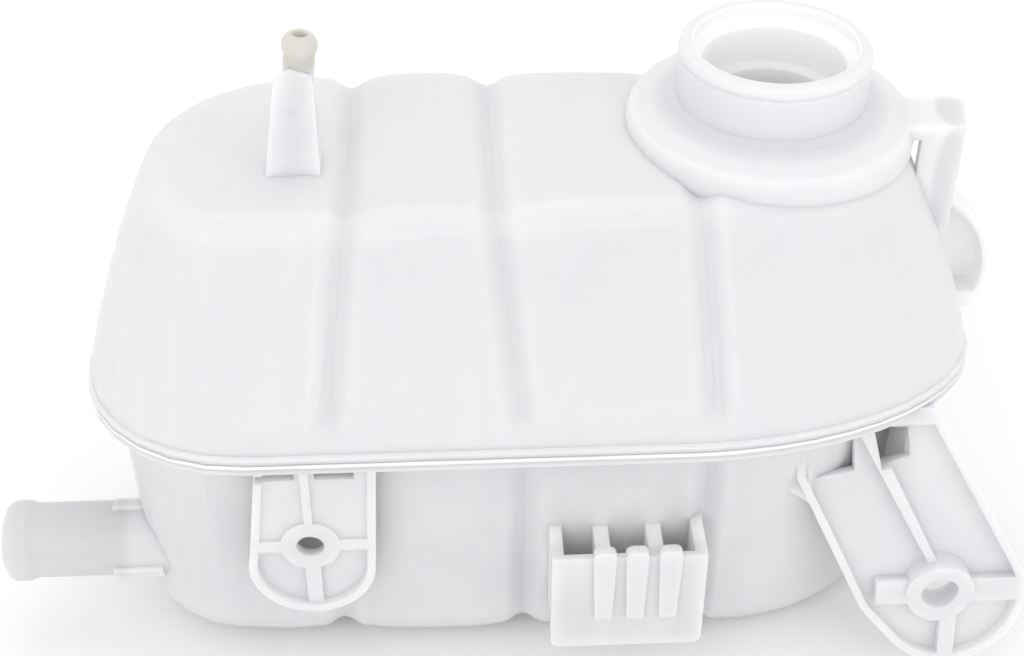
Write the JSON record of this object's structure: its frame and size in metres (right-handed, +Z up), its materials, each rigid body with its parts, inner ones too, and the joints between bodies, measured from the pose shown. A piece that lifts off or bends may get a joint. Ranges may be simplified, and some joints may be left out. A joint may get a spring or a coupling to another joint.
{
  "type": "coolant expansion tank",
  "caption": "Welded plastic coolant expansion tank with a bulged, grooved body, filler neck, vent nipple, outlet pipe, bolt tab, slanted bolt ear and clip pocket.",
  "frame": {"origin": "centre of the front tab's bolt hole, on the tab's front face", "axes": "+X along the tank towards the large bolt ear, away from the outlet pipe; +Y backwards, away from the front tab; +Z up along the filler neck"},
  "size_m": [0.3351, 0.1199, 0.2162],
  "materials": {
    "upper_polypropylene": "satin",
    "lower_polypropylene": "satin"
  },
  "bodies": {
    "root": {"upper_shell": "upper_polypropylene", "lower_shell": "lower_polypropylene"}
  },
  "joints": []
}
